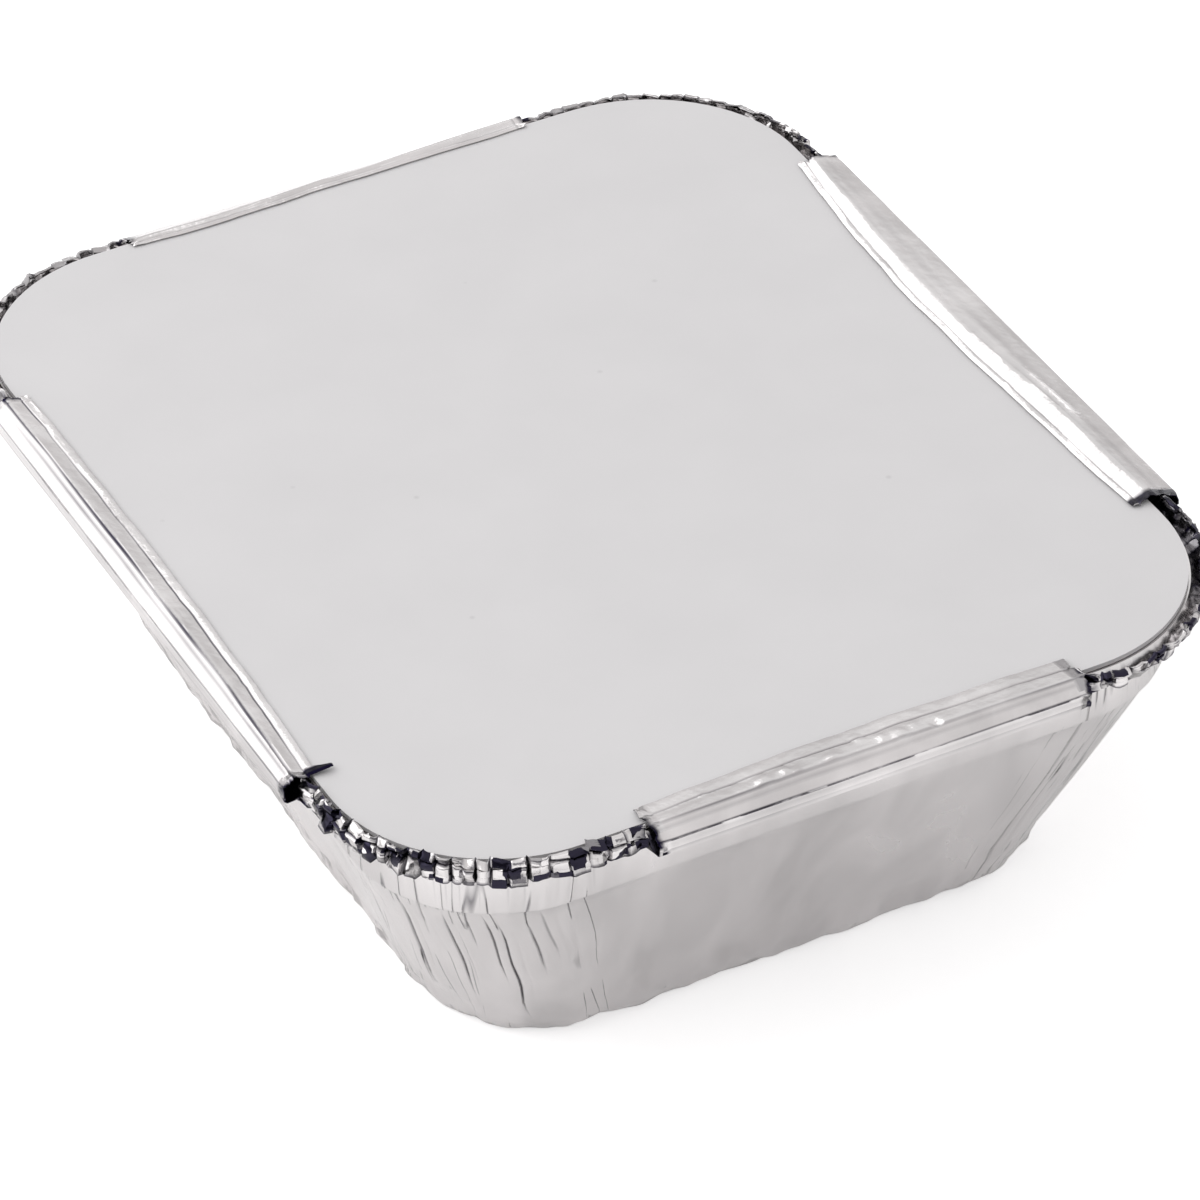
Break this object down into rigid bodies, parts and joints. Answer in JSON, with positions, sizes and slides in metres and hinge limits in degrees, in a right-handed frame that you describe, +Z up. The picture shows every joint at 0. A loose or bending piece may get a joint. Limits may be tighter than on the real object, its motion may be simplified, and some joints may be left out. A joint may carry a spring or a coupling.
{
  "type": "foil food container",
  "caption": "Rectangular pressed foil food tray with tapered walls, crimped round corners and straight tabs folded in over a flat white board lid.",
  "frame": {"origin": "middle of the tray's outline, on the surface that it stands on", "axes": "+X across the tray towards its right side, +Y along its length towards the back, +Z up"},
  "size_m": [0.1222, 0.1454, 0.0442],
  "materials": {
    "foil_tray": "bright rolled foil, crimped at the corners",
    "board_lid": "smooth matt white board"
  },
  "bodies": {
    "root": {"foil_tray": "foil_tray", "board_lid": "board_lid"}
  },
  "joints": []
}
